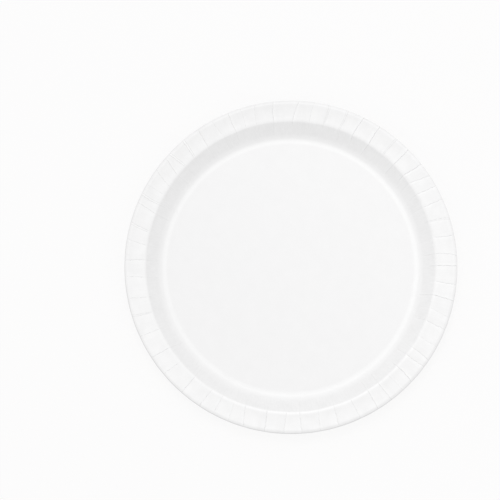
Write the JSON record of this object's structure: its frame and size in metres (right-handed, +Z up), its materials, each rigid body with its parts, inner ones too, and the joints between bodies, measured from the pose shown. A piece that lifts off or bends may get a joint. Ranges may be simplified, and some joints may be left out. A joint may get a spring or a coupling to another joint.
{
  "type": "paper plate",
  "caption": "Round white paperboard plate with a flat well, a steep wall, a pleated rim and a turned-down lip, for serving food.",
  "frame": {"origin": "centre of the plate on the surface that it lies on", "axes": "+Z up along the plate's axis, out of the well; +Y towards the edge that is highest in the picture, +X towards the right"},
  "size_m": [0.23, 0.23, 0.0127],
  "materials": {
    "white_board": "smooth bleached board, matt with a faint sheen"
  },
  "bodies": {
    "root": {"plate": "white_board"}
  },
  "joints": []
}
